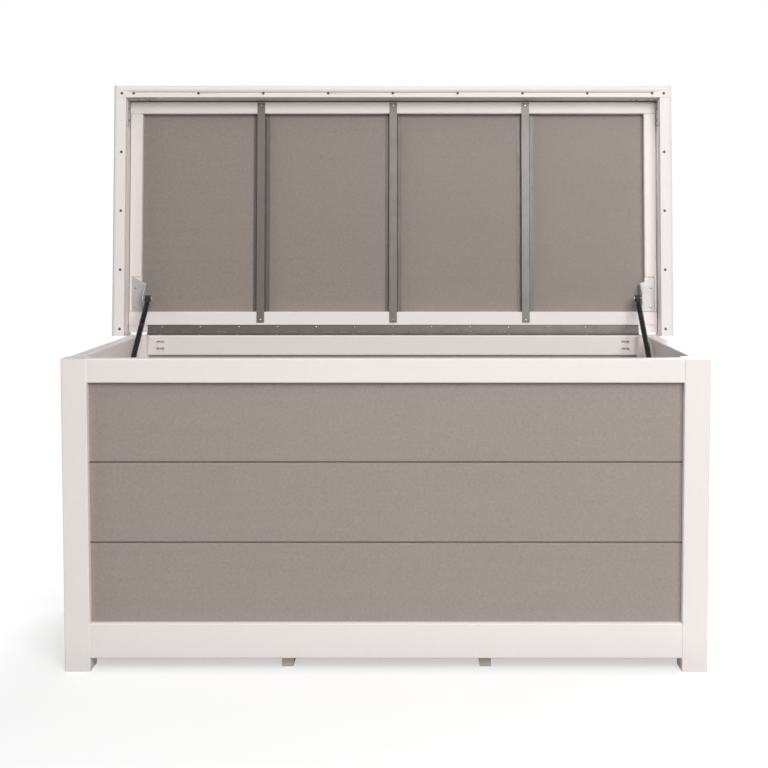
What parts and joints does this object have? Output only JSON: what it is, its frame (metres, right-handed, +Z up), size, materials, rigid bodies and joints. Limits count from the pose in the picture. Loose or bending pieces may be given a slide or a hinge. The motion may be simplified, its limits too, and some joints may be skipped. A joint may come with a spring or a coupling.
{
  "type": "deck storage box",
  "caption": "White-framed deck storage chest with grey planks, a hinged telescoping lid shown open, and gas struts.",
  "frame": {"origin": "on the floor, halfway between the left and right sides and halfway between the front face of the chest and the rearmost edge of the open lid", "axes": "+X to the right seen from the front, +Y towards the hinge side, +Z up"},
  "size_m": [1.622, 0.7843, 1.4666],
  "materials": {
    "white_board": "white extruded board with a fine satin grain",
    "grey_plank": "warm grey extruded plank with a fine speckled grain",
    "grey_panel": "darker warm grey sheet with a fine speckled grain",
    "bearer": "rough grey-brown bearer",
    "rib_aluminium": "mill-finish folded aluminium",
    "hinge_steel": "dull brushed stainless steel",
    "screw_steel": "bright screw steel",
    "screw_dark": "dull dark screw steel",
    "bracket_steel": "bright zinc-plated steel",
    "strut_black": "gloss black enamel",
    "rod_chrome": "polished chrome",
    "fitting_black": "black moulded socket"
  },
  "bodies": {
    "chest": {"corner_post_front_left": "white_board", "corner_post_front_right": "white_board", "corner_post_rear_left": "white_board", "corner_post_rear_right": "white_board", "top_rail_front": "white_board", "top_rail_rear": "white_board", "top_rail_left": "white_board", "top_rail_right": "white_board", "bottom_rail_front": "white_board", "bottom_rail_rear": "white_board", "bottom_rail_left": "white_board", "bottom_rail_right": "white_board", "front_plank_lower": "grey_plank", "front_plank_middle": "grey_plank", "front_plank_upper": "grey_plank", "rear_planks": "grey_plank", "left_planks": "grey_plank", "right_planks": "grey_plank", "floor_boards": "grey_plank", "floor_bearer_left": "bearer", "floor_bearer_right": "bearer", "floor_cleats": "bearer", "frame_screws": "screw_steel", "hinge_leaf_chest": "hinge_steel", "hinge_pin": "hinge_steel", "hinge_screws_chest": "screw_steel", "chest_strut_bracket_left": "bracket_steel", "chest_strut_bracket_right": "bracket_steel", "bracket_screws_chest": "screw_steel"},
    "lid": {"lid_panel": "grey_panel", "lid_skirt_front": "white_board", "lid_skirt_left": "white_board", "lid_skirt_right": "white_board", "lid_cap_front": "white_board", "lid_cap_rear": "white_board", "lid_cap_left": "white_board", "lid_cap_right": "white_board", "lid_trim_front": "white_board", "lid_trim_rear": "white_board", "lid_trim_left": "white_board", "lid_trim_right": "white_board", "lid_rib_left": "rib_aluminium", "lid_rib_centre": "rib_aluminium", "lid_rib_right": "rib_aluminium", "corner_braces": "bracket_steel", "lid_rim_screws": "screw_dark", "rib_screws": "screw_steel", "hinge_leaf_lid": "hinge_steel", "hinge_screws_lid": "screw_steel", "lid_strut_bracket_left": "bracket_steel", "lid_strut_bracket_right": "bracket_steel", "bracket_screws_lid": "screw_steel"},
    "strut_tube_left": {"strut_tube_left": "strut_black", "tube_end_fitting_left": "fitting_black"},
    "strut_rod_left": {"strut_rod_left": "rod_chrome", "rod_end_fitting_left": "fitting_black"},
    "strut_tube_right": {"strut_tube_right": "strut_black", "tube_end_fitting_right": "fitting_black"},
    "strut_rod_right": {"strut_rod_right": "rod_chrome", "rod_end_fitting_right": "fitting_black"}
  },
  "joints": [
    {"name": "lid_hinge", "type": "hinge", "parent": "chest", "child": "lid", "pos_m": [0, 0.27968, 0.749], "axis": [1, 0, 0], "range_deg": [0, 95]},
    {"name": "strut_pivot_left", "type": "hinge", "parent": "lid", "child": "strut_tube_left", "pos_m": [-0.706, 0.2605, 0.85106], "axis": [1, 0, 0], "range_deg": [-104.44, 0]},
    {"name": "strut_slide_left", "type": "slide", "parent": "strut_tube_left", "child": "strut_rod_left", "axis": [0, 0.7682, 0.6402], "range_m": [0, 0.1426]},
    {"name": "strut_pivot_right", "type": "hinge", "parent": "lid", "child": "strut_tube_right", "pos_m": [0.706, 0.2605, 0.85106], "axis": [1, 0, 0], "range_deg": [-104.44, 0]},
    {"name": "strut_slide_right", "type": "slide", "parent": "strut_tube_right", "child": "strut_rod_right", "axis": [0, 0.7682, 0.6402], "range_m": [0, 0.1426]}
  ],
  "couplings": [
    {"joint": "strut_pivot_left", "follows": "lid_hinge", "ratio": -1.0941},
    {"joint": "strut_slide_left", "follows": "lid_hinge", "m_per_rad": 0.08539},
    {"joint": "strut_pivot_right", "follows": "lid_hinge", "ratio": -1.0941},
    {"joint": "strut_slide_right", "follows": "lid_hinge", "m_per_rad": 0.08539}
  ]
}
